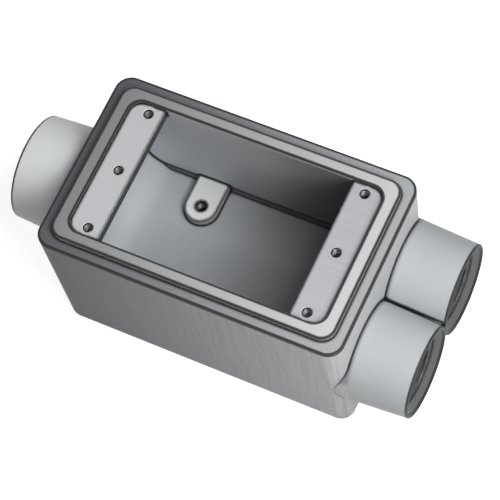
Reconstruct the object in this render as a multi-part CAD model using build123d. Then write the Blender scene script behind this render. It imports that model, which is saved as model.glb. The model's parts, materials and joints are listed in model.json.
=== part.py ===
from build123d import *
import math
import os

# Cast device box for one wiring device: one conduit hub on one end, two side by side on the other.
# Sizes are in millimetres. The origin is the centre of the flat back, X runs along the box to the
# end with two hubs, Y runs across it to the wall with the grounding lug, and Z points out of the
# open face. The rim plane is the top of the walls, and the gasket band stands on it.

# Body
body_length = 115.9
body_width = 71.4
rim_height = 64.5
body_corner_radius = 6.0
wall_draft = 0.7
back_edge_radius = 3.0
rim_edge_radius = 0.5

# Gasket band round the opening
band_height = 2.2
band_end_inset = 4.3
band_side_inset = 4.1
band_end_width = 4.9
band_side_width = 4.4
band_corner_radius = 5.2
opening_corner_radius = 4.8
band_edge_chamfer = 0.3

# Cored chamber, whose side walls run from the edge of the opening out to the floor
wall_thickness = 3.2
floor_thickness = 6.8
chamber_corner_ease = 1.5
floor_end_radius = 10.0

# Device ledges with their tapped holes
device_hole_spacing = 83.34
cover_hole_spacing = 47.6
ledge_drop = 1.5
ledge_past_hole = 5.45
ledge_thickness = 4.0
ledge_slope = 20.0
ledge_edge_radius = 0.4
screw_bore_radius = 1.75
screw_chamfer = 0.35

# Grounding lug on the floor
lug_x = -27.0
lug_width = 12.8
lug_height = 3.3
lug_hole_from_wall = 12.2
lug_edge_chamfer = 0.4
ground_bore_radius = 2.08
ground_bore_depth = 6.2
ground_chamfer = 0.4
drill_point_angle = 118.0
drill_web_radius = 0.3

# Pair of hubs, whose roots stand in from the side walls by a margin
pair_hub_side_margin = 0.6
pair_hub_height = 31.5
pair_hub_reach = 22.7
pair_hub_mouth_radius = 17.0
pair_thread_radius = 13.1
pair_throat_radius = 10.45
pair_web_height = 11.0
pair_web_setback = 1.2

# Single hub
single_hub_height = 40.0
single_hub_reach = 21.7
single_hub_mouth_radius = 19.5
single_thread_radius = 16.4
single_throat_radius = 13.3

# Shared by all hubs
hub_taper = 3.3
hub_root_depth = 7.0
hub_root_radius = 1.0
hub_lip = 0.9
hub_edge_chamfer = 0.3
throat_length = 6.0
throat_chamfer = 1.0

# Room that a cutter runs past the face it opens, and that a full-round corner keeps from its width
cutter_run = 5.0
round_margin = 0.01

band_top = rim_height + band_height
half_length = body_length / 2
half_width = body_width / 2
draft_slope = math.tan(math.radians(wall_draft))
opening_length = body_length - 2 * (band_end_inset + band_end_width)
opening_width = body_width - 2 * (band_side_inset + band_side_width)
ledge_top = band_top - ledge_drop
ledge_edge_x = device_hole_spacing / 2 - ledge_past_hole


def rounded_plate(length, width, radius, level):
    """A rounded rectangle that lies flat at the level."""
    limit = min(length, width) / 2 - round_margin
    return Plane.XY.offset(level) * RectangleRounded(length, width, min(radius, limit))


def wall_setback(level):
    """How far the drafted outer wall stands back, at the level, from the edge of the rim plane."""
    return (rim_height - level) * draft_slope


def body_block():
    """The outside of the box below the rim plane, wider at the rim than at the back."""
    rim = rounded_plate(body_length, body_width, body_corner_radius, rim_height)
    block = extrude(rim, amount=rim_height, dir=(0, 0, -1), taper=wall_draft)
    block = fillet(block.faces().sort_by(Axis.Z)[0].edges(), back_edge_radius)
    return fillet(block.faces().sort_by(Axis.Z)[-1].edges(), rim_edge_radius)


def gasket_band():
    """The raised land that the cover's gasket sits on, before the opening goes through it."""
    length = body_length - 2 * band_end_inset
    width = body_width - 2 * band_side_inset
    plate = rounded_plate(length, width, band_corner_radius, rim_height - band_height)
    band = extrude(plate, amount=2 * band_height, dir=(0, 0, 1))
    return chamfer(band.faces().sort_by(Axis.Z)[-1].edges(), band_edge_chamfer)


def chamber_half_length(level):
    """Half the chamber's length: its end walls follow the drafted outside."""
    return half_length - wall_thickness - wall_setback(level)


def chamber_half_width(level):
    """Half the chamber's width at the floor, where the side walls are thinnest."""
    return half_width - wall_thickness - wall_setback(level)


def chamber_block():
    """The chamber below the ledges: its long section, with round ends to the floor, cut by its cross-section."""
    top = ledge_top - ledge_thickness / 2
    base = floor_thickness
    long_section = Polyline(
        (-chamber_half_length(top), top),
        (-chamber_half_length(base), base),
        (chamber_half_length(base), base),
        (chamber_half_length(top), top),
        close=True,
    )
    long_face = make_face(long_section)
    long_face = fillet(long_face.vertices().group_by(Axis.Y)[0], min(floor_end_radius, (top - base) / 2))
    cross_section = Polyline(
        (-opening_width / 2, top),
        (-chamber_half_width(base), base),
        (chamber_half_width(base), base),
        (opening_width / 2, top),
        close=True,
    )
    cross_face = make_face(cross_section)
    cross_face = chamfer(cross_face.vertices().group_by(Axis.Y)[0], chamber_corner_ease)
    along_x = extrude(Plane.XZ * long_face, amount=half_width, both=True)
    along_y = extrude(Plane.YZ * cross_face, amount=half_length, both=True)
    return along_x & along_y


def ledge_block(side):
    """The shelf that the core leaves at one end, with an underside that falls towards the wall."""
    reach = half_length - ledge_edge_x
    fall = reach * math.tan(math.radians(ledge_slope))
    outline = Polyline(
        (ledge_edge_x, ledge_top),
        (half_length, ledge_top),
        (half_length, ledge_top - ledge_thickness - fall),
        (ledge_edge_x, ledge_top - ledge_thickness),
        close=True,
    )
    shelf = extrude(Plane.XZ * make_face(outline), amount=half_width, both=True)
    rims = shelf.edges().filter_by(Axis.Y).sort_by(Axis.X)[0:2]
    shelf = fillet(rims, min(ledge_edge_radius, ledge_thickness / 3))
    return shelf if side > 0 else mirror(shelf, about=Plane.YZ)


def lug_hole_y():
    """How far across the box the lug's hole stands, measured from the wall at the floor."""
    return chamber_half_width(floor_thickness) - lug_hole_from_wall


def grounding_lug():
    """A flat pad on the floor that runs out of the wall and ends round about its tapped hole."""
    tip_y = lug_hole_y()
    root_y = half_width
    shank = Pos(lug_x, (tip_y + root_y) / 2) * Rectangle(lug_width, root_y - tip_y)
    outline = shank + Pos(lug_x, tip_y) * Circle(lug_width / 2)
    pad = extrude(Plane.XY.offset(floor_thickness / 2) * outline, amount=floor_thickness / 2 + lug_height)
    return chamfer(pad.faces().sort_by(Axis.Z)[-1].edges(), lug_edge_chamfer)


def core():
    """Everything that the mould's core keeps open: the chamber and the opening, less what stays."""
    start = ledge_top - ledge_thickness / 2
    plate = rounded_plate(opening_length, opening_width, opening_corner_radius, start)
    opening = extrude(plate, amount=band_top + cutter_run - start, dir=(0, 0, 1))
    space = chamber_block() + opening
    return space - ledge_block(1) - ledge_block(-1) - grounding_lug()


def hub_root_size(mouth_radius, reach):
    """The radius that a hub has where it meets the end wall."""
    return mouth_radius + reach * math.tan(math.radians(hub_taper))


def pair_hub_y():
    """How far each hub of the pair stands from the middle of the box."""
    return half_width - pair_hub_side_margin - hub_root_size(pair_hub_mouth_radius, pair_hub_reach)


def hub_body(mouth_radius, reach, height, y, side):
    """The outside of one hub, a cone that widens from its mouth to its root inside the wall."""
    root_radius = hub_root_size(mouth_radius, reach)
    outline = Polyline(
        (half_length - hub_root_depth, 0),
        (half_length - hub_root_depth, root_radius),
        (half_length, root_radius),
        (half_length + reach, mouth_radius),
        (half_length + reach, 0),
        close=True,
    )
    hub = revolve(make_face(outline), axis=Axis.X)
    rim = hub.edges().filter_by(GeomType.CIRCLE).sort_by(Axis.X)[-1]
    hub = chamfer(rim, hub_edge_chamfer)
    hub = hub if side > 0 else mirror(hub, about=Plane.YZ)
    return Pos(0, y, height) * hub


def hub_bore(mouth_radius, thread_radius, throat_radius, reach, height, y, side):
    """The way through one hub: wide lead-in, pipe-thread wall, shoulder and throat with eased edges."""
    mouth_x = half_length + reach
    inner_x = chamber_half_length(height)
    shoulder_x = inner_x + throat_length
    lead_in = mouth_radius - hub_lip - thread_radius
    ease = min(throat_chamfer, throat_length / 2)
    outline = Polyline(
        (inner_x - cutter_run, 0),
        (inner_x - cutter_run, throat_radius + ease),
        (inner_x, throat_radius + ease),
        (inner_x + ease, throat_radius),
        (shoulder_x - ease, throat_radius),
        (shoulder_x, throat_radius + ease),
        (shoulder_x, thread_radius),
        (mouth_x - lead_in, thread_radius),
        (mouth_x, mouth_radius - hub_lip),
        (mouth_x + cutter_run, mouth_radius - hub_lip),
        (mouth_x + cutter_run, 0),
        close=True,
    )
    bore = revolve(make_face(outline), axis=Axis.X)
    bore = bore if side > 0 else mirror(bore, about=Plane.YZ)
    return Pos(0, y, height) * bore


def screw_bore():
    """One tapped hole through a ledge, bored at the radius of its thread's roots, with a chamfered mouth."""
    depth = ledge_thickness + ledge_past_hole + cutter_run
    outline = Polyline(
        (0, cutter_run),
        (screw_bore_radius + screw_chamfer, cutter_run),
        (screw_bore_radius + screw_chamfer, 0),
        (screw_bore_radius, -screw_chamfer),
        (screw_bore_radius, -depth),
        (0, -depth),
        close=True,
    )
    return revolve(Plane.XZ * make_face(outline), axis=Axis.Z)


def screw_bores():
    """Two rows of three tapped holes: the device's in the middle, the cover's either side."""
    bore = screw_bore()
    places = GridLocations(device_hole_spacing, cover_hole_spacing / 2, 2, 3)
    return [Pos(0, 0, ledge_top) * place * bore for place in places]


def ground_bore():
    """The blind tapped hole in the grounding lug, with a drill point and the flat of its web at its foot."""
    point = (ground_bore_radius - drill_web_radius) / math.tan(math.radians(drill_point_angle / 2))
    outline = Polyline(
        (0, cutter_run),
        (ground_bore_radius + ground_chamfer, cutter_run),
        (ground_bore_radius + ground_chamfer, 0),
        (ground_bore_radius, -ground_chamfer),
        (ground_bore_radius, -ground_bore_depth),
        (drill_web_radius, -ground_bore_depth - point),
        (0, -ground_bore_depth - point),
        close=True,
    )
    bore = revolve(Plane.XZ * make_face(outline), axis=Axis.Z)
    return Pos(lug_x, lug_hole_y(), floor_thickness + lug_height) * bore


def pair_web():
    """The web that fills the crease between the two hubs, a little short of their mouths."""
    start = half_length - hub_root_depth
    length = hub_root_depth + pair_hub_reach - pair_web_setback
    return Pos(start + length / 2, 0, pair_hub_height) * Box(length, pair_hub_y(), pair_web_height)


def with_root_fillet(body, hubs):
    """Hubs joined to the body, with a small cast fillet where they meet it."""
    joined = body + hubs
    return fillet(new_edges(body, hubs, combined=joined), hub_root_radius)


def box_casting():
    """The whole casting, which is one piece of metal."""
    pair = (pair_hub_reach, pair_hub_height)
    single = (single_hub_reach, single_hub_height)
    pair_places = (-pair_hub_y(), pair_hub_y())
    pair_hubs = pair_web()
    bores = [hub_bore(single_hub_mouth_radius, single_thread_radius, single_throat_radius, *single, 0, -1)]
    for y in pair_places:
        pair_hubs += hub_body(pair_hub_mouth_radius, *pair, y, 1)
        bores.append(hub_bore(pair_hub_mouth_radius, pair_thread_radius, pair_throat_radius, *pair, y, 1))
    casting = with_root_fillet(body_block(), hub_body(single_hub_mouth_radius, *single, 0, -1))
    casting += pair_hubs + gasket_band()
    casting -= core()
    for cutter in bores + screw_bores() + [ground_bore()]:
        casting -= cutter
    return casting


os.makedirs("parts", exist_ok=True)
casting = box_casting()
casting.label = "box_casting"
export_step(casting, "parts/box_casting.step")
size = casting.bounding_box().size
print(f"box_casting: {size.X:.2f} x {size.Y:.2f} x {size.Z:.2f} mm, {casting.volume / 1000:.1f} cm3")
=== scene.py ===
# %% [markdown]
# # A cast device box
# This box is one iron casting. It holds one wiring device, takes a gasketed cover, and has
# threaded hubs for conduit on both ends. Its solid was modelled to size beforehand, and the first
# cell loads it as a fixed frame. The lesson then adds what a solid for a library leaves out: the
# threads, the finish of each surface, the light and the camera.

import json
import math

import bmesh
import bpy
from mathutils import Matrix, Vector


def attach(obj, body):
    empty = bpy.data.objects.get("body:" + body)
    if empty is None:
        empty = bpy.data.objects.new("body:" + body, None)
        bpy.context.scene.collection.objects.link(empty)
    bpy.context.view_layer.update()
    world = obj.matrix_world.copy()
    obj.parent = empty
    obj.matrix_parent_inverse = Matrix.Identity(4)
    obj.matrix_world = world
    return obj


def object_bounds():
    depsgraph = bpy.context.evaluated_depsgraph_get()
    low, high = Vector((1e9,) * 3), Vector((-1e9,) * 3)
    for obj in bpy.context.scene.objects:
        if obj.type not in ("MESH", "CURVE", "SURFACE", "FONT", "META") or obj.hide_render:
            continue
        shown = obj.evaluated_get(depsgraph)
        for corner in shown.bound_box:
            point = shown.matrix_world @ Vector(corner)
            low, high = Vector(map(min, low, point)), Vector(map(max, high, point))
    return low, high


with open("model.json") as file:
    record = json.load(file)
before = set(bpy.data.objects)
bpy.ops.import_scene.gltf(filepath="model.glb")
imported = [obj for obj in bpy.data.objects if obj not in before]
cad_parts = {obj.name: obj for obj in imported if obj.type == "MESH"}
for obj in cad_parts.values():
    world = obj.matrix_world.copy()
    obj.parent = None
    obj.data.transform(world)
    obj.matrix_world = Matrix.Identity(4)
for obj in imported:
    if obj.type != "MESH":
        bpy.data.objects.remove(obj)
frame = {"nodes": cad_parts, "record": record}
cad_low, cad_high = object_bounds()
casting = frame["nodes"]["box_casting"]
mounts = {mount["name"]: mount for mount in frame["record"]["mounts"]}
print("casting", len(casting.data.polygons), "faces, mounts:", sorted(mounts))

# %% [markdown]
# ## Small helpers
# Sizes below are written in millimetres, and Blender works in metres, so one value turns them.
# Colours are written as sRGB hex, as a paint card gives them, and Blender's shaders want linear
# light. One small function adds a shader node and links it, which keeps each material readable.

# %% Helpers
MM = 0.001
INCH = 25.4 * MM


def hex_colour(code):
    """Linear RGBA of an sRGB hex colour, by the sRGB standard's own curve."""
    parts = [int(code[i:i + 2], 16) / 255 for i in (1, 3, 5)]
    linear = [part / 12.92 if part <= 0.04045 else ((part + 0.055) / 1.055) ** 2.4
              for part in parts]
    return (*linear, 1.0)


def add(tree, kind, inputs=None, **settings):
    """Adds one shader node with its settings, and sets or links its inputs."""
    node = tree.nodes.new(kind)
    for name, value in settings.items():
        setattr(node, name, value)
    for socket, value in (inputs or {}).items():
        if isinstance(value, bpy.types.NodeSocket):
            tree.links.new(value, node.inputs[socket])
        else:
            node.inputs[socket].default_value = value
    return node


def new_material(name):
    """An empty node material and its tree."""
    material = bpy.data.materials.new(name)
    material.use_nodes = True
    material.node_tree.nodes.clear()
    return material, material.node_tree


print("mid grey is", [round(part, 3) for part in hex_colour("#808080")])

# %% [markdown]
# ## Where each surface is
# The casting has several finishes: grey lacquer over sand-cast skin, the same lacquer over the
# smoother hubs and gasket band, and the flats that were milled after casting. Painting them by
# hand would need a UV map, and the mesh is a mass of small triangles. A mask that picks each
# surface by its place and the way it faces needs none, and it stays put when the view changes.
# The heights come from the record's mounts where it has them.

# %% Levels
LEDGE_TOP = mounts["cover_screws"]["pos_m"][2]
BAND_TOP = mounts["gasket_face"]["pos_m"][2]
BAND_HEIGHT = 2.2 * MM
RIM_TOP = BAND_TOP - BAND_HEIGHT
LUG_TOP = 10.1 * MM
FLOOR_TOP = 6.8 * MM
HUB_REACH = 22.7 * MM
END_WALL = cad_high[0] - HUB_REACH
SIDE_WALL = cad_high[1]
BACK_OF_CHAMBER = 25 * MM
SCREWS = mounts["cover_screws"]["dims"]
SCREW_X, SCREW_Y = SCREWS["spacing_x_mm"] * MM / 2, SCREWS["spacing_y_mm"] * MM / 2
SCREW_RADIUS = SCREWS["hole_r_mm"] * MM
print("ledge", LEDGE_TOP, "band", BAND_TOP, "rim", RIM_TOP, "end wall", END_WALL)

# %% [markdown]
# ## Sand-cast iron under aluminium lacquer
# Malleable iron poured in sand keeps a fine grain on its skin, and the aluminium lacquer sprayed
# over it is a pale neutral grey with a soft sheen. The material is built up in the order of the
# real work: the skin, the coats of lacquer, the milled flats, then wear. Over these lie painted
# light and shade: the coats are lighter or darker from end to end, and painted shade darkens the
# inner corners. This cell makes the numbers that all masks start from: a point's place, the way
# its surface faces, and both without their sign, because the box is nearly the same on both sides
# of its middle.

# %% Places and directions
lacquer, tree = new_material("aluminium_lacquer_on_sand_cast_iron")
place = add(tree, "ShaderNodeTexCoord").outputs["Object"]
true_normal = add(tree, "ShaderNodeNewGeometry").outputs["Normal"]
at = dict(zip(("x", "y", "z"), add(tree, "ShaderNodeSeparateXYZ", {0: place}).outputs))
facing = add(tree, "ShaderNodeSeparateXYZ", {0: true_normal}).outputs
at.update(zip(("facing_x", "facing_y", "facing_z"), facing))
for name in ("x", "y", "facing_x", "facing_y"):
    unsigned = add(tree, "ShaderNodeMath", {0: at[name]}, operation="ABSOLUTE")
    at["either_" + name] = unsigned.outputs[0]
# Each row: the new number's name, the number it starts from, and the level that is taken off.
for name, value, level in (
    ("off_lug", "z", LUG_TOP),
    ("off_row", "either_y", SCREW_Y),
    ("from_row_x", "either_x", SCREW_X),
):
    off = add(tree, "ShaderNodeMath", {0: at[value], 1: level}, operation="SUBTRACT").outputs[0]
    at[name] = add(tree, "ShaderNodeMath", {0: off}, operation="ABSOLUTE").outputs[0]
print("numbers:", sorted(at))

# %% [markdown]
# ## Ramps
# A Map Range node turns a number into a mask: 0 up to the first value, 1 from the second on, with
# a short ramp between them that hides the step. Where the second value is the lower one, the mask
# is 1 below it. The table holds one row for each ramp.

# %% Ramps
RAMPS = {
    "faces_up": ("facing_z", 0.85, 0.97),
    "steep": ("facing_z", 0.6, 0.3),
    "slanting": ("facing_z", 0.4, 0.6),
    "slanting_across": ("either_facing_y", 0.4, 0.6),
    "faces_end": ("either_facing_x", 0.5, 0.8),
    "faces_chamber": ("either_facing_x", 0.7, 0.9),
    "faces_front": ("facing_y", -0.4, -0.8),
    "above_chamber": ("z", LEDGE_TOP - 1.2 * MM, LEDGE_TOP - 0.9 * MM),
    "above_ledges": ("z", LEDGE_TOP + 0.5 * MM, LEDGE_TOP + 0.9 * MM),
    "above_rim": ("z", RIM_TOP + 0.1 * MM, RIM_TOP + 0.3 * MM),
    "by_rim_top": ("z", RIM_TOP - 1.6 * MM, RIM_TOP - 1.3 * MM),
    "by_band_top": ("z", BAND_TOP - 0.8 * MM, BAND_TOP - 0.6 * MM),
    "by_ledges": ("z", LEDGE_TOP - 8 * MM, LEDGE_TOP - 7 * MM),
    "by_floor": ("z", FLOOR_TOP + 2.4 * MM, FLOOR_TOP + 2 * MM),
    "by_lug_top": ("off_lug", 0.3 * MM, 0.1 * MM),
    "side_skin": ("either_y", SIDE_WALL - 2.5 * MM, SIDE_WALL - 1.5 * MM),
    "end_skin": ("either_x", END_WALL - 2.5 * MM, END_WALL - 1.5 * MM),
    "past_end_wall": ("either_x", END_WALL + 0.4 * MM, END_WALL + 1.6 * MM),
    "pair_space": ("x", END_WALL - 4 * MM, END_WALL - 3 * MM),
    "single_space": ("x", 4 * MM - END_WALL, 3 * MM - END_WALL),
    "above_back": ("z", 1 * MM, 1.5 * MM),
    "inside_rows": ("either_x", SCREW_X - 4 * MM, SCREW_X - 5 * MM),
    # Painted light: the coats change along this ramp, lighter or darker from end to end.
    "towards_pair": ("x", -END_WALL, END_WALL),
    "pair_half": ("x", 0.0, END_WALL),
    "back_of_chamber": ("y", BACK_OF_CHAMBER - 2 * MM, BACK_OF_CHAMBER),
    "pair_mouths": ("x", cad_high[0] - 0.9 * MM, cad_high[0] - 0.7 * MM),
    "single_mouth": ("x", cad_low[0] + 0.9 * MM, cad_low[0] + 0.7 * MM),
}
mask = {}
for name, (value, start, full) in RAMPS.items():
    ramp = add(tree, "ShaderNodeMapRange", {
        "Value": at[value], "From Min": start, "From Max": full})
    mask[name] = ramp.outputs[0]
print(len(mask), "ramps")

# %% [markdown]
# ## Round places
# The bores and the small holes are round, so their masks start from the distance to an axis. The
# screw holes stand in two mirrored rows of three, and folding the place about each row's middle
# brings all six onto one. The lug's hole is by itself, and each hub has its own axis. A wider
# round place about each screw hole later keeps wear and painted shade off the ledge there.

# %% Bores and holes
SINGLE_LIP_RADIUS, PAIR_LIP_RADIUS = 18.6 * MM, 16.1 * MM
LUG_HOLE = mounts["ground_screw"]
LUG_HOLE_RADIUS = LUG_HOLE["dims"]["r_mm"] * MM
HOLE_LIP = 0.15 * MM
KEPT_CLEAN = 1.3 * MM
HOLE_RAMP, CLEAN_RAMP, HUB_RAMP = 0.1 * MM, 0.2 * MM, 0.3 * MM
ACROSS_HOLE, ACROSS_HUB = (1, 1, 0), (0, 1, 1)
ORIGIN = (0, 0, 0)

nearest_y = add(tree, "ShaderNodeMath", {
    0: at["either_y"], 1: at["off_row"]}, operation="MINIMUM").outputs[0]
screw_place = add(tree, "ShaderNodeCombineXYZ", {0: at["from_row_x"], 1: nearest_y}).outputs[0]
# Each row: the mask's name, the point, a place on the axis, which coordinates lie across the
# axis, the radius, and the width of the ramp inside it.
round_places = [
    ("screw_hole", screw_place, ORIGIN, ACROSS_HOLE, SCREW_RADIUS + HOLE_LIP, HOLE_RAMP),
    ("round_screw", screw_place, ORIGIN, ACROSS_HOLE, SCREW_RADIUS + KEPT_CLEAN, CLEAN_RAMP),
    ("lug_hole", place, LUG_HOLE["pos_m"], ACROSS_HOLE, LUG_HOLE_RADIUS + HOLE_LIP, HOLE_RAMP),
]
for name, radius in (
    ("hub_single", SINGLE_LIP_RADIUS),
    ("hub_pair_front", PAIR_LIP_RADIUS),
    ("hub_pair_back", PAIR_LIP_RADIUS),
):
    round_places.append((name, place, mounts[name]["pos_m"], ACROSS_HUB, radius, HUB_RAMP))
for name, point, axis_place, across, radius, ramp_width in round_places:
    centred = add(tree, "ShaderNodeVectorMath", {0: point, 1: axis_place}, operation="SUBTRACT")
    flat = add(tree, "ShaderNodeVectorMath", {
        0: centred.outputs[0], 1: across}, operation="MULTIPLY")
    distance = add(tree, "ShaderNodeVectorMath", {0: flat.outputs[0]}, operation="LENGTH")
    ramp = add(tree, "ShaderNodeMapRange", {
        "Value": distance.outputs["Value"], "From Min": radius, "From Max": radius - ramp_width})
    mask[name] = ramp.outputs[0]
print("round places:", [row[0] for row in round_places])

# %% [markdown]
# ## Rounded outlines
# The rim, the band and the opening are rectangles with round corners, and their sharp edges are
# the first to lose their lacquer. Past the straight part of a side, the distance is measured from
# the corner's centre, and short of it from the side itself. A mask of what lies within half a
# line's width of that outline gives a crisp line, where the bevel node further down gives only a
# soft one. A row's shift moves the line in or out, so that it lies on the flat beside the edge.

# %% Rounded outlines
EDGE_LINE = 0.9 * MM
LINE_FROM, LINE_FULL = EDGE_LINE / 2 + 0.1 * MM, EDGE_LINE / 2 - 0.05 * MM
# Each row: the outline's name, half its length and width, its corner radius and the shift.
OUTLINES = (
    ("rim_outline", END_WALL, SIDE_WALL, 6.0 * MM, -0.45 * MM),
    ("rim_wall", END_WALL, SIDE_WALL, 6.0 * MM, 0.0),
    ("band_outline", 53.65 * MM, 31.6 * MM, 5.2 * MM, -0.3 * MM),
    ("opening_outline", 48.75 * MM, 27.2 * MM, 4.8 * MM, 0.2 * MM),
)
for name, half_length, half_width, corner, shift in OUTLINES:
    beyond = []
    for value, half in (("either_x", half_length), ("either_y", half_width)):
        past = add(tree, "ShaderNodeMath", {
            0: at[value], 1: half - corner}, operation="SUBTRACT").outputs[0]
        beyond.append(add(tree, "ShaderNodeMath", {0: past, 1: 0.0}, operation="MAXIMUM"))
    from_corner = add(tree, "ShaderNodeCombineXYZ", {
        0: beyond[0].outputs[0], 1: beyond[1].outputs[0]}).outputs[0]
    reach = add(tree, "ShaderNodeVectorMath", {0: from_corner}, operation="LENGTH")
    signed = add(tree, "ShaderNodeMath", {
        0: reach.outputs["Value"], 1: corner + shift}, operation="SUBTRACT")
    off_line = add(tree, "ShaderNodeMath", {0: signed.outputs[0]}, operation="ABSOLUTE")
    ramp = add(tree, "ShaderNodeMapRange", {
        "Value": off_line.outputs[0], "From Min": LINE_FROM, "From Max": LINE_FULL})
    mask[name] = ramp.outputs[0]
print("outlines:", [row[0] for row in OUTLINES])

# %% [markdown]
# ## Joined masks
# A place is often two masks at once: the rim is level and high, but not as high as the band.
# Multiply keeps what both have, Subtract takes one away, and Maximum takes either.

# %% Joined masks
JOINS = (
    ("top_flat", "faces_up", "MULTIPLY", "above_chamber"),
    ("rim", "top_flat", "SUBTRACT", "above_rim"),
    ("band", "top_flat", "MULTIPLY", "above_ledges"),
    ("ledge_or_band", "top_flat", "SUBTRACT", "rim"),
    ("ledge", "ledge_or_band", "SUBTRACT", "band"),
    ("lug_top", "faces_up", "MULTIPLY", "by_lug_top"),
    ("side", "side_skin", "MULTIPLY", "steep"),
    ("end", "end_skin", "MULTIPLY", "faces_end"),
    ("back_wall", "back_of_chamber", "MULTIPLY", "faces_front"),
    ("back_wall_at_pair", "back_wall", "MULTIPLY", "pair_half"),
    ("rim_line", "rim_outline", "MULTIPLY", "above_chamber"),
    ("rim_edge", "rim_wall", "MULTIPLY", "by_rim_top"),
    ("band_line", "band_outline", "MULTIPLY", "by_band_top"),
    ("opening_line", "opening_outline", "MULTIPLY", "above_ledges"),
    ("ledge_end", "faces_chamber", "MULTIPLY", "inside_rows"),
    ("ledge_face", "ledge_end", "MULTIPLY", "by_ledges"),
    ("slant", "slanting", "MULTIPLY", "slanting_across"),
    ("floor_edge", "slant", "MULTIPLY", "by_floor"),
    ("pair_bores", "hub_pair_front", "MAXIMUM", "hub_pair_back"),
    ("pair_bore", "pair_bores", "MULTIPLY", "pair_space"),
    ("single_bore", "hub_single", "MULTIPLY", "single_space"),
    ("hub_bore", "pair_bore", "MAXIMUM", "single_bore"),
    ("screw_bore", "screw_hole", "MULTIPLY", "by_ledges"),
    ("lug_bore", "lug_hole", "MULTIPLY", "above_back"),
    ("small_bore", "screw_bore", "MAXIMUM", "lug_bore"),
    ("mouths", "pair_mouths", "MAXIMUM", "single_mouth"),
)
for name, first, operation, second in JOINS:
    join = add(tree, "ShaderNodeMath", {0: mask[first], 1: mask[second]}, operation=operation)
    mask[name] = join.outputs[0]
print("joined:", [row[0] for row in JOINS])

# %% [markdown]
# ## Patterns
# Each pattern is a noise stretched to a real size. The sand's grain is about 0.3 mm on the real
# skin, and here it is 0.7 mm, as coarse as it needs to be to show. Faint streaks run down the
# outer walls where the lacquer ran, and the mill leaves fine lines across the ledges, drawn three
# times as coarse as the real ones. The mottle is the uneven thickness of the spray.

# %% Patterns
GRAIN = 0.7 * MM
STREAK_WIDTH, STREAK_LENGTH = 1.0 * MM, 20 * MM
MOTTLE = 22 * MM
MILLING_PITCH, MILLING_LENGTH = 0.9 * MM, 30 * MM
NOISE_ROUGHNESS = 0.55

# Each row: the pattern's size along each axis, and its detail.
PATTERNS = {
    "grain": ((GRAIN, GRAIN, GRAIN), 4.0),
    "streaks": ((STREAK_WIDTH, STREAK_WIDTH, STREAK_LENGTH), 2.0),
    "mottle": ((MOTTLE, MOTTLE, MOTTLE), 3.0),
    "milling": ((MILLING_LENGTH, MILLING_PITCH, MILLING_LENGTH), 2.0),
}
pattern = {}
for name, (size, detail) in PATTERNS.items():
    scaled = add(tree, "ShaderNodeMapping", {
        "Vector": place, "Scale": [1 / step for step in size]})
    noise = add(tree, "ShaderNodeTexNoise", {
        "Vector": scaled.outputs[0], "Scale": 1.0, "Detail": detail,
        "Roughness": NOISE_ROUGHNESS})
    pattern[name] = noise.outputs["Fac"]

# Each row: the mask's name, its pattern, the ramp's start and end, its strength, and its surface.
for name, source, start, full, strength, where in (
    ("side_streaks", "streaks", 0.4, 0.65, 0.24, "side"),
    ("ledge_lines", "milling", 0.35, 0.7, 0.1, "ledge"),
):
    ramp = add(tree, "ShaderNodeMapRange", {
        "Value": pattern[source], "From Min": start, "From Max": full, "To Max": strength})
    lines = add(tree, "ShaderNodeMath", {
        0: ramp.outputs[0], 1: mask[where]}, operation="MULTIPLY")
    mask[name] = lines.outputs[0]
print("patterns:", sorted(pattern))

# %% [markdown]
# ## Wear and painted shade
# Handling wears the lacquer through to dark iron along the sharp edges. The bevel node finds
# them, because the normal that it rounds off differs from the true one only there. The mouths'
# lips, the rim, the band and the opening take the most knocks, so their masks are added whole.
# The grain breaks the wear up a little. Painted shade darkens the inner corners, which the ambient
# occlusion node finds. Both nodes also mark the ledges round the screw holes, where the mill has
# just cut, so that place is taken off.

# %% Wear and painted shade
WORN_EDGE = 1.5 * MM
CORNER_SHADE_REACH = 1.9 * MM
WORN_THROUGH = 0.95
EDGE_SAMPLES, CORNER_SHADE_SAMPLES = 6, 8

rounded = add(tree, "ShaderNodeBevel", {"Radius": WORN_EDGE}, samples=EDGE_SAMPLES)
sameness = add(tree, "ShaderNodeVectorMath", {
    0: rounded.outputs["Normal"], 1: true_normal}, operation="DOT_PRODUCT")
# Painted shade: the ambient occlusion below darkens the inner corners.
openness = add(tree, "ShaderNodeAmbientOcclusion", {
    "Distance": CORNER_SHADE_REACH}, samples=CORNER_SHADE_SAMPLES)
# Each row: the mask's name, the number it reads, where it is 0, and where it is 1.
for name, value, start, full in (
    ("sharp", sameness.outputs["Value"], 0.998, 0.975),
    ("patchy", pattern["grain"], 0.1, 0.35),
    ("dusty", openness.outputs["AO"], 0.8, 0.58),
):
    ramp = add(tree, "ShaderNodeMapRange", {"Value": value, "From Min": start, "From Max": full})
    mask[name] = ramp.outputs[0]
for name in ("sharp", "dusty"):
    kept = add(tree, "ShaderNodeMath", {
        0: mask[name], 1: mask["round_screw"]}, operation="SUBTRACT")
    mask[name] = kept.outputs[0]
worn = mask["sharp"]
for knocked in ("mouths", "rim_edge", "rim_line", "band_line", "opening_line"):
    worn = add(tree, "ShaderNodeMath", {0: worn, 1: mask[knocked]}, operation="MAXIMUM").outputs[0]
for part in (mask["patchy"], WORN_THROUGH):
    worn = add(tree, "ShaderNodeMath", {0: worn, 1: part}, operation="MULTIPLY").outputs[0]
mask["worn"] = worn
# The second reach printed is that of the painted shade in the corners.
print("wear reaches", WORN_EDGE, "m, dust", CORNER_SHADE_REACH, "m")
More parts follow.
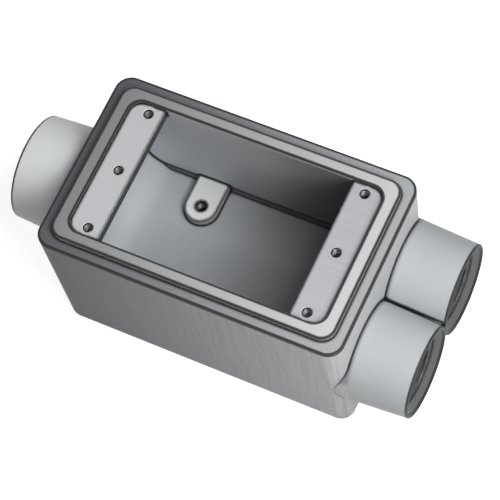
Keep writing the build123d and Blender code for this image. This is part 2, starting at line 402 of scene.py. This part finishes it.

# %% [markdown]
# ## Coats and painted light
# Most coats have two colours: one at the single hub's end and one at the pair's end, with a slow
# change between them. That change is painted light and shade. The outer side walls, the rim and
# the band are darker at the single hub's end, and the single hub and its ledge are lighter there.
# Inside, the floor and the back wall darken towards the pair's end, where that end's wall casts
# its shadow, and the back wall is near black on that half. Each row goes over the rows above it,
# in the order in which the real box was sprayed, milled and worn, and the rows of painted shade in
# the bores, holes and corners lie among them. A group for each surface would show the same, but a
# table is easier to read and to tune.

# %% Coats and painted light
COATS_AND_PAINTED_LIGHT = (
    # Painted shade: the back wall runs from pale to dark grey towards the pair's end, and is near
    # black on that half.
    ("back_wall", "#d2d5d8", "#6a6c6f"),
    ("back_wall_at_pair", "#141517", "#141517"),
    # Painted light and shade: the outer side walls, the rim and the band are darker at the single
    # hub's end.
    ("side", "#4c4e51", "#b2b4b7"),
    ("side_streaks", "#55575a", "#55575a"),
    ("end", "#a7a9ab", "#a7a9ab"),
    ("rim", "#54565a", "#9c9ea0"),
    # Painted light: the single hub is lighter and the pair's hubs are darker.
    ("past_end_wall", "#e3e6e6", "#a4a7a9"),
    ("band", "#828487", "#bbbdbe"),
    # Painted light: the ledge at the single hub's end is lighter.
    ("ledge", "#c8c9cc", "#9d9fa2"),
    ("ledge_lines", "#d6d8d9", "#d6d8d9"),
    ("lug_top", "#eceeef", "#eceeef"),
    # Painted shade: the ledges' end faces towards the chamber are dark.
    ("ledge_face", "#3c3d40", "#3c3d40"),
    # Painted shade: the slanted strip where the floor meets the side walls is dark.
    ("floor_edge", "#5a5c5f", "#5a5c5f"),
    # Partly painted shade: the hub bores are dark, partly as bare iron and partly as shade inside
    # them.
    ("hub_bore", "#505254", "#505254"),
    ("worn", "#0f1011", "#0f1011"),
    # Painted shade: the walls of the small holes are near black.
    ("small_bore", "#1f2022", "#1f2022"),
    # Painted shade in the inner corners.
    ("dusty", "#1c1d1f", "#1c1d1f"),
)
# Painted shade: the first coat, which the floor inside keeps, darkens towards the pair's end.
FIRST_COAT, FIRST_COAT_THICK, FIRST_COAT_SHADED_AT_PAIR = "#b6b9bc", "#bfc2c5", "#808386"
# The Mix node has sockets for each kind of value, and these are its two colours and its result.
COLOUR_A, COLOUR_B, MIXED = 6, 7, 2

uneven = add(tree, "ShaderNodeMapRange", {
    "Value": pattern["mottle"], "From Min": 0.3, "From Max": 0.7})
sprayed = add(tree, "ShaderNodeMix", {
    "Factor": uneven.outputs[0], COLOUR_A: hex_colour(FIRST_COAT),
    COLOUR_B: hex_colour(FIRST_COAT_THICK)}, data_type="RGBA")
along = add(tree, "ShaderNodeMix", {
    "Factor": mask["towards_pair"], COLOUR_A: sprayed.outputs[MIXED],
    COLOUR_B: hex_colour(FIRST_COAT_SHADED_AT_PAIR)}, data_type="RGBA")
skin = along.outputs[MIXED]
for where, single_end, pair_end in COATS_AND_PAINTED_LIGHT:
    coat = add(tree, "ShaderNodeMix", {
        "Factor": mask["towards_pair"], COLOUR_A: hex_colour(single_end),
        COLOUR_B: hex_colour(pair_end)}, data_type="RGBA")
    over = add(tree, "ShaderNodeMix", {
        "Factor": mask[where], COLOUR_A: skin, COLOUR_B: coat.outputs[MIXED]}, data_type="RGBA")
    skin = over.outputs[MIXED]
print(len(COATS_AND_PAINTED_LIGHT), "coats")

# %% [markdown]
# ## Relief and sheen
# The grain stands 0.1 mm high on the cast skin and nearly vanishes on the flats, where the mill
# cut it away and left its own lines. Lacquer isn't a metal to the eye: it has a soft white sheen
# over its grey, so the shader is that of a plastic with a lowered specular level, and a little
# rougher where the grain is high.

# %% Relief, sheen and shader
GRAIN_HEIGHT, GRAIN_STRENGTH, GRAIN_LEFT_ON_FLATS = 0.1 * MM, 0.5, 0.15
MILLING_HEIGHT, MILLING_STRENGTH = 0.03 * MM, 0.15
SMOOTHEST, ROUGHEST = 0.5, 0.62
SHEEN = 0.3

cast_skin = add(tree, "ShaderNodeMapRange", {
    "Value": mask["top_flat"], "To Min": 1.0, "To Max": GRAIN_LEFT_ON_FLATS}).outputs[0]
relief = {}
for source, where, strength, distance in (
    ("grain", cast_skin, GRAIN_STRENGTH, GRAIN_HEIGHT),
    ("milling", mask["ledge"], MILLING_STRENGTH, MILLING_HEIGHT),
):
    height = add(tree, "ShaderNodeMath", {0: pattern[source], 1: where}, operation="MULTIPLY")
    bump = add(tree, "ShaderNodeBump", {
        "Height": height.outputs[0], "Strength": strength, "Distance": distance, **relief})
    relief = {"Normal": bump.outputs[0]}
roughness = add(tree, "ShaderNodeMapRange", {
    "Value": pattern["grain"], "To Min": SMOOTHEST, "To Max": ROUGHEST})
shader = add(tree, "ShaderNodeBsdfPrincipled", {
    "Base Color": skin, "Roughness": roughness.outputs[0], "Specular IOR Level": SHEEN, **relief})
add(tree, "ShaderNodeOutputMaterial", {"Surface": shader.outputs[0]})

casting.data.materials.clear()
casting.data.materials.append(lacquer)
print("casting wears", casting.data.materials[0].name, "with", len(tree.nodes), "nodes")

# %% [markdown]
# ## Thread ridges
# A thread is a ridge that climbs as it turns. A Screw modifier could make it, but the operator
# spin also turns a small profile about an axis and moves it along by a little at each step, and
# its result can then be faded. The same function makes the coarse pipe threads of the hubs and
# the fine screw threads, because only the sizes differ. The ridge fades to nothing at both ends,
# as a tap leaves it, and its foot is sunk a little into the bore's wall, so that no gap shows.

# %% Thread helper
FOOT_SINK = 0.05 * MM
HALF_FOOT, HALF_CREST = 0.42, 0.08  # of the pitch
FADE_TURNS, LEAST_FADE = 0.6, 0.02
TURNS_LEFT_BARE = 0.5
SHARP_CORNER = math.radians(40)


def thread_ridge(bm, radius, height, pitch, length, steps_per_turn, taper=0.0):
    """A right-hand ridge inside a bore along +Z from z = 0. The bore narrows by taper times z."""
    turns = length / pitch - TURNS_LEFT_BARE
    foot, crest = radius + FOOT_SINK, radius - height
    half_foot, half_crest = HALF_FOOT * pitch, HALF_CREST * pitch
    profile = [(foot, -half_foot), (crest, -half_crest), (crest, half_crest), (foot, half_foot)]
    start = [bm.verts.new((r, 0.0, z + half_foot)) for r, z in profile]
    face = bm.faces.new(start)
    steps = round(turns * steps_per_turn)
    before = set(bm.verts)
    bmesh.ops.spin(
        bm, geom=[face, *face.edges, *start], cent=(0, 0, 0), axis=(0, 0, 1),
        dvec=(0, 0, turns * pitch / steps), angle=turns * math.tau, steps=steps,
        use_duplicate=False,
    )
    ridge = start + [vert for vert in bm.verts if vert not in before]
    for vert in ridge:
        flat = Vector((vert.co.x, vert.co.y, 0))
        turns_in = min(max((vert.co.z - half_foot) / pitch, 0.0), turns)
        fade = min(1.0, min(turns_in, turns - turns_in) / FADE_TURNS + LEAST_FADE)
        wanted = foot - (foot - flat.length) * fade - taper * vert.co.z * (flat.length < radius)
        vert.co = flat.normalized() * wanted + Vector((0, 0, vert.co.z))
    return ridge


def finish_piece(bm, name, material):
    """Turns a bmesh into a piece that rides on the box, smooth but for its sharp corners."""
    bmesh.ops.recalc_face_normals(bm, faces=bm.faces)
    mesh = bpy.data.meshes.new(name)
    bm.to_mesh(mesh)
    bm.free()
    piece = bpy.data.objects.new(name, mesh)
    bpy.context.scene.collection.objects.link(piece)
    mesh.materials.append(material)
    mesh.shade_smooth()
    mesh.set_sharp_from_angle(angle=SHARP_CORNER)
    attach(piece, "root")
    print(name, len(mesh.polygons), "faces")


# %% [markdown]
# ## Cut threads
# A tap cuts through the lacquer to bare iron. In the hubs the iron is painted darker, partly as
# its own dull grey and partly as painted shade inside the bores, and in the small holes it is a
# little brighter. The tone varies over 1.5 mm, about the pitch of the pipe threads. The iron is
# given as partly metallic, because oil and scale dull it, and it keeps the default IOR.

# %% Thread finish
OIL_MOTTLE = 1.5 * MM
CUT_ROUGHNESS, CUT_METALLIC = 0.38, 0.6


def tapped_iron(name, roots, crests):
    """Bare iron as a tap leaves it, between two tones."""
    material, tree = new_material(name)
    place = add(tree, "ShaderNodeTexCoord").outputs["Object"]
    fine = add(tree, "ShaderNodeTexNoise", {
        "Vector": place, "Scale": 1 / OIL_MOTTLE, "Detail": 3.0})
    tone = add(tree, "ShaderNodeValToRGB", {"Fac": fine.outputs["Fac"]})
    tone.color_ramp.elements[0].color = hex_colour(roots)
    tone.color_ramp.elements[1].color = hex_colour(crests)
    shader = add(tree, "ShaderNodeBsdfPrincipled", {
        "Base Color": tone.outputs[0], "Roughness": CUT_ROUGHNESS, "Metallic": CUT_METALLIC})
    add(tree, "ShaderNodeOutputMaterial", {"Surface": shader.outputs[0]})
    return material


# The hub threads are dark partly as bare cut iron and partly as painted shade inside the bores.
pipe_finish = tapped_iron("tapped_iron_in_painted_shade", "#3a3c3e", "#545659")
screw_finish = tapped_iron("tapped_iron_bright", "#424446", "#66686a")
print("finishes:", pipe_finish.name, screw_finish.name)

# %% [markdown]
# ## Pipe threads in the hubs
# Conduit hubs have a tapered pipe thread: 14 turns to the inch in the pair, 11.5 in the larger
# hub, and each bore narrows by one part in 32 on the radius. The solid's bore is straight, so the
# crests take only part of that taper, or the ridge would sink into the wall at the mouth. The
# ridge is made along Z and turned to lie along the hub's axis. Its narrow end belongs inside, so
# its heights are first counted from the other end. That mirrors it, so these three ridges wind to
# the left, while a real pipe thread winds to the right.

# %% Pipe threads
PIPE_TAPER = 1 / 32
TAPER_ON_CRESTS = 0.4
PIPE_RIDGE_HEIGHT = 0.68  # of the pitch
PIPE_STEPS = 48
SINGLE_THREADS_PER_INCH, PAIR_THREADS_PER_INCH = 11.5, 14


def pipe_thread(name, threads_per_inch):
    """Makes the ridge of one hub's pipe thread, at its mount."""
    mount = mounts[name]
    axis = Vector(mount["axis"])
    radius, length = mount["dims"]["r_mm"] * MM, mount["dims"]["length_mm"] * MM
    pitch = INCH / threads_per_inch
    bm = bmesh.new()
    taper = PIPE_TAPER * TAPER_ON_CRESTS
    height = PIPE_RIDGE_HEIGHT * pitch
    ridge = thread_ridge(bm, radius, height, pitch, length, PIPE_STEPS, taper)
    for vert in ridge:
        vert.co.z = length - vert.co.z
    turn = Vector((0, 0, 1)).rotation_difference(axis).to_matrix().to_4x4()
    inner = Vector(mount["pos_m"]) - axis * length / 2
    bmesh.ops.transform(bm, matrix=Matrix.Translation(inner) @ turn, verts=ridge)
    finish_piece(bm, name + "_thread", pipe_finish)


pipe_thread("hub_single", SINGLE_THREADS_PER_INCH)
pipe_thread("hub_pair_front", PAIR_THREADS_PER_INCH)
pipe_thread("hub_pair_back", PAIR_THREADS_PER_INCH)

# %% [markdown]
# ## Screw threads in the ledges and the lug
# The seven small holes have 32 turns to the inch. All their ridges go into one piece, because
# they share a finish and none is ever moved by itself. Each hole's centre comes from the record's
# screw patterns, so the threads stay in the holes if the spacing changes. The first turns at the
# mouth are left out, where the tap's lead-in is.

# %% Screw threads
SCREW_PITCH = INCH / 32
SCREW_RIDGE_HEIGHT = 0.6  # of the pitch
SCREW_STEPS = 24
THREAD_LENGTH = 4.2 * MM
LEAD_IN = 1.1 * MM

lug_mouth = LUG_HOLE["pos_m"][2] + LUG_HOLE["dims"]["length_mm"] * MM / 2
holes = [(x, y, LEDGE_TOP, SCREW_RADIUS)
         for x in (-SCREW_X, SCREW_X) for y in (-SCREW_Y, 0, SCREW_Y)]
holes.append((*LUG_HOLE["pos_m"][:2], lug_mouth, LUG_HOLE_RADIUS))
height = SCREW_RIDGE_HEIGHT * SCREW_PITCH
bm = bmesh.new()
for x, y, mouth, radius in holes:
    ridge = thread_ridge(bm, radius, height, SCREW_PITCH, THREAD_LENGTH, SCREW_STEPS)
    bmesh.ops.translate(bm, vec=(x, y, mouth - LEAD_IN - THREAD_LENGTH), verts=ridge)
finish_piece(bm, "screw_threads", screw_finish)

# %% [markdown]
# ## Floor
# The box stands on a wide pale floor. The picture's ground is plain white, so the floor adds a
# little of its own light, but only for rays from the camera and for reflections. The shadow stays,
# and the object gets no extra light.

# %% Floor
FLOOR_HALF = 3.0
FLOOR_GLOW = 0.86


def seen_rays(tree):
    """1 for rays from the camera and for reflections, and 0 for the light that falls on things."""
    path = add(tree, "ShaderNodeLightPath").outputs
    seen = path["Is Camera Ray"]
    for kind in ("Is Glossy Ray", "Is Transmission Ray"):
        joined = add(tree, "ShaderNodeMath", {0: seen, 1: path[kind]}, operation="MAXIMUM")
        seen = joined.outputs[0]
    return seen


def white_ground():
    """A pale matt floor that the camera sees as white where no shadow falls."""
    material, tree = new_material("white_ground")
    glow = add(tree, "ShaderNodeMath", {0: seen_rays(tree), 1: FLOOR_GLOW}, operation="MULTIPLY")
    matt = add(tree, "ShaderNodeBsdfDiffuse", {"Color": hex_colour("#c4c4c4")})
    light = add(tree, "ShaderNodeEmission", {
        "Color": hex_colour("#ffffff"), "Strength": glow.outputs[0]})
    total = add(tree, "ShaderNodeAddShader", {0: matt.outputs[0], 1: light.outputs[0]})
    add(tree, "ShaderNodeOutputMaterial", {"Surface": total.outputs[0]})
    return material


floor_mesh = bpy.data.meshes.new("floor")
bm = bmesh.new()
bmesh.ops.create_grid(bm, x_segments=1, y_segments=1, size=FLOOR_HALF)
bm.to_mesh(floor_mesh)
bm.free()
floor = bpy.data.objects.new("floor", floor_mesh)
bpy.context.scene.collection.objects.link(floor)
floor_mesh.materials.append(white_ground())
print("floor is", round(floor.dimensions.x, 2), "m wide")

# %% [markdown]
# ## Light
# In the picture the pair's end and the hubs are bright, and the right half of the chamber lies in
# the shade of its own wall, so the main light comes from that end. Two soft lamps stand there low,
# in front and behind, and a third stands high above them and reaches the ledges and the floor.
# Weak lamps fill the other end, the front wall and the far side, so that no side is black. The
# world gives a faint even light, and white where the camera looks past the floor.

# %% Lamps and world
BOX_MIDDLE = (0.0, 0.0, 0.04)
# Each row: the lamp's name, then its place, target and width in metres, and its power in watts.
LAMPS = (
    ("key", (0.25, -0.13, 0.26), BOX_MIDDLE, 0.16, 0.83),
    ("key_back", (0.28, 0.10, 0.30), BOX_MIDDLE, 0.2, 0.23),
    ("high", (0.30, 0.0, 0.55), BOX_MIDDLE, 0.3, 1.95),
    ("left", (-0.35, 0.05, 0.45), (-0.03, 0.0, 0.04), 0.25, 0.12),
    ("front", (-0.22, -0.46, 0.30), BOX_MIDDLE, 0.4, 0.21),
    ("far_side", (-0.32, 0.50, 0.06), BOX_MIDDLE, 0.4, 0.4),
)
ROOM_LIGHT, BACKDROP_LIGHT = 0.05, 1.0

for name, at_place, target, width, power in LAMPS:
    lamp = bpy.data.lights.new(name, "AREA")
    lamp.shape = "SQUARE"
    lamp.size = width
    lamp.energy = power
    stand = bpy.data.objects.new(name, lamp)
    stand.location = at_place
    stand.rotation_euler = (Vector(target) - Vector(at_place)).to_track_quat("-Z", "Y").to_euler()
    bpy.context.scene.collection.objects.link(stand)

world = bpy.data.worlds.new("pale_room")
bpy.context.scene.world = world
world.use_nodes = True
sky = world.node_tree
sky.nodes.clear()
room, backdrop = [
    add(sky, "ShaderNodeBackground", {"Color": hex_colour("#ffffff"), "Strength": strength})
    for strength in (ROOM_LIGHT, BACKDROP_LIGHT)]
either = add(sky, "ShaderNodeMixShader", {
    0: seen_rays(sky), 1: room.outputs[0], 2: backdrop.outputs[0]})
add(sky, "ShaderNodeOutputWorld", {"Surface": either.outputs[0]})
bpy.context.scene.view_settings.view_transform = "Standard"
print("lamps:", [row[0] for row in LAMPS])

# %% [markdown]
# ## Camera
# The camera's place was found by matching the box's corners, ledges and hub mouths to the
# picture. It looks down at the open face from the front right, and it is rolled so that the box
# runs down to the right, with a long lens, as in a catalogue drawing.

# %% Camera
FOCAL_LENGTH_MM, SENSOR_WIDTH_MM = 159.47, 36.0
CAMERA_PLACE = (217.78 * MM, -263.18 * MM, 744.44 * MM)
CAMERA_TURN_DEGREES = (24.776, 6.443, 25.177)

lens = bpy.data.cameras.new("camera")
lens.lens = FOCAL_LENGTH_MM
lens.sensor_width = SENSOR_WIDTH_MM
camera = bpy.data.objects.new("camera", lens)
camera.location = CAMERA_PLACE
camera.rotation_euler = [math.radians(angle) for angle in CAMERA_TURN_DEGREES]
bpy.context.scene.collection.objects.link(camera)
bpy.context.scene.camera = camera
print("camera is", round(camera.location.length, 3), "m from the origin")
